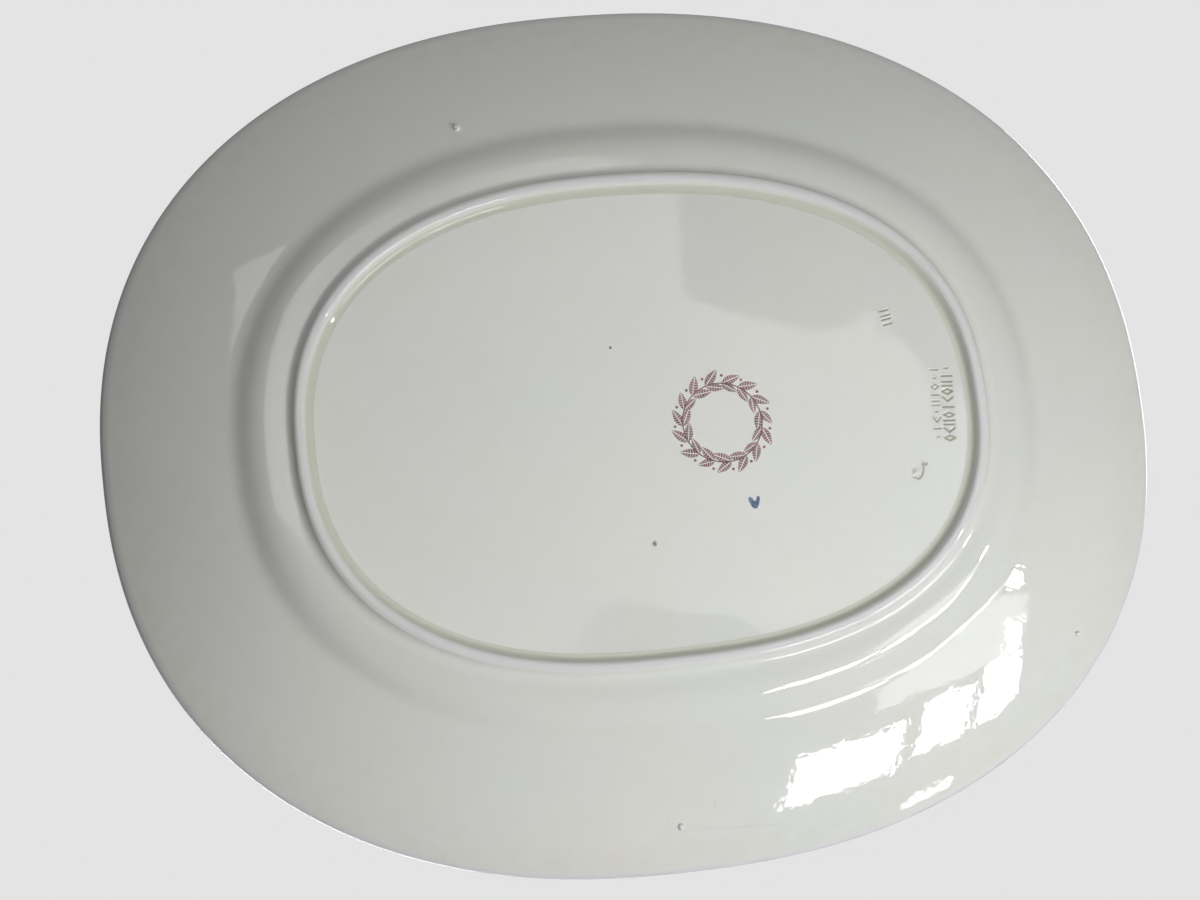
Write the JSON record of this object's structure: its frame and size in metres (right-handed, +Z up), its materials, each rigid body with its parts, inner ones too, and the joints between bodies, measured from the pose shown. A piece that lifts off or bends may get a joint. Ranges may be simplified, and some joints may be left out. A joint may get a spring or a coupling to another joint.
{
  "type": "serving platter",
  "caption": "Large oval glazed earthenware serving platter with a sloping rim, a soft shoulder and a half-round foot ring on its back.",
  "frame": {"origin": "middle of the overall box, on the plane that the foot ring stands on", "axes": "+X along the platter, +Y across it, +Z up out of the food side"},
  "size_m": [0.356, 0.2964, 0.0313],
  "materials": {
    "clay": "fired cream clay, dry and matt",
    "foot_glaze": "cream lead glaze, worn on the crest of the foot",
    "coat_glaze": "glossy cream lead glaze with a faint green cast",
    "panel_glaze": "glossy cream lead glaze, slightly warmer",
    "plum_print": "plum-brown transfer print under the glaze",
    "blue_enamel": "hand-painted blue enamel",
    "kiln_grit": "rough crumb of kiln furniture"
  },
  "bodies": {
    "root": {"platter_body": "clay", "foot_ring": "foot_glaze", "glaze_coat": "coat_glaze", "glaze_panel": "panel_glaze", "printed_wreath": "plum_print", "painted_dab": "blue_enamel", "spur_mark_1": "kiln_grit", "spur_mark_2": "kiln_grit", "spur_mark_3": "kiln_grit", "spur_mark_4": "kiln_grit"}
  },
  "joints": []
}
